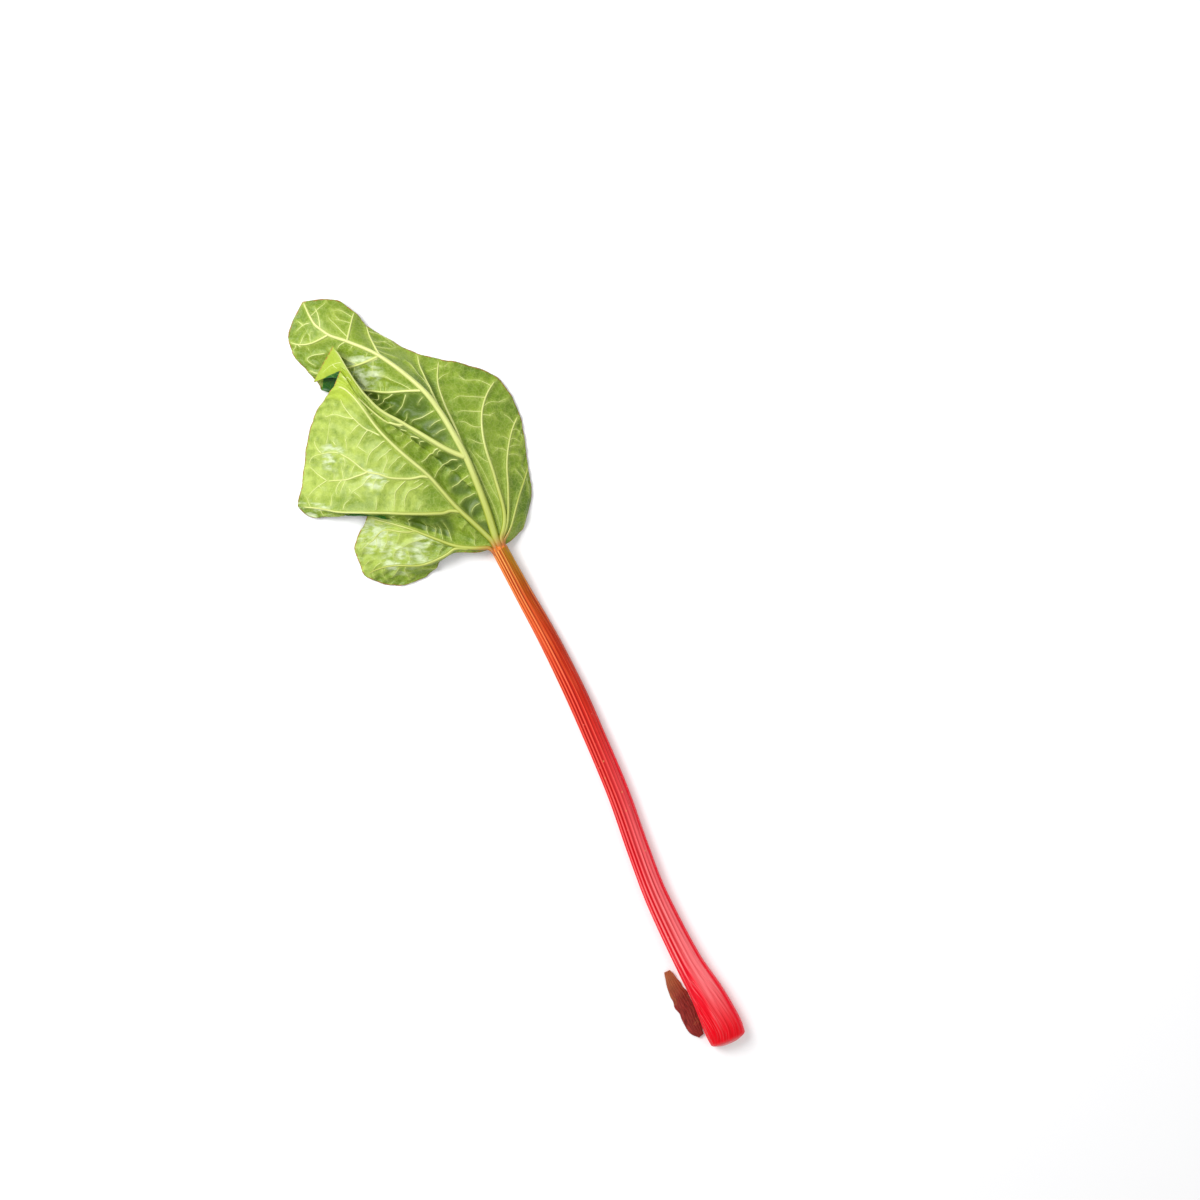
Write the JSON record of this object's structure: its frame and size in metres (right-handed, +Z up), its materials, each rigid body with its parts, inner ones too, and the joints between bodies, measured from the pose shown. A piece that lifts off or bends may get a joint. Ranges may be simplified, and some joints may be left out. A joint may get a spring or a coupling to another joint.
{
  "type": "rhubarb stalk",
  "caption": "Long ribbed leaf stalk with a crumpled, strongly veined lobed leaf at the top and a scrap of dry sheath at the cut base, lying on its side.",
  "frame": {"origin": "on the surface it lies on, under the pressed flat strip of the stalk about a third of the way down from the leaf", "axes": "+Y along the whole length towards the leaf's tip side, +X to the side that the cut base leans to, +Z up from the surface it lies on"},
  "size_m": [0.3636, 0.5958, 0.0301],
  "materials": {
    "stalk_skin": "waxy ribbed plant skin, red over most of its length, orange near the leaf",
    "leaf_blade": "soft green leaf underside with paler raised ribs",
    "dry_sheath": "dry papery brown skin"
  },
  "bodies": {
    "root": {"stalk": "stalk_skin", "leaf": "leaf_blade", "dry_sheath": "dry_sheath"}
  },
  "joints": []
}
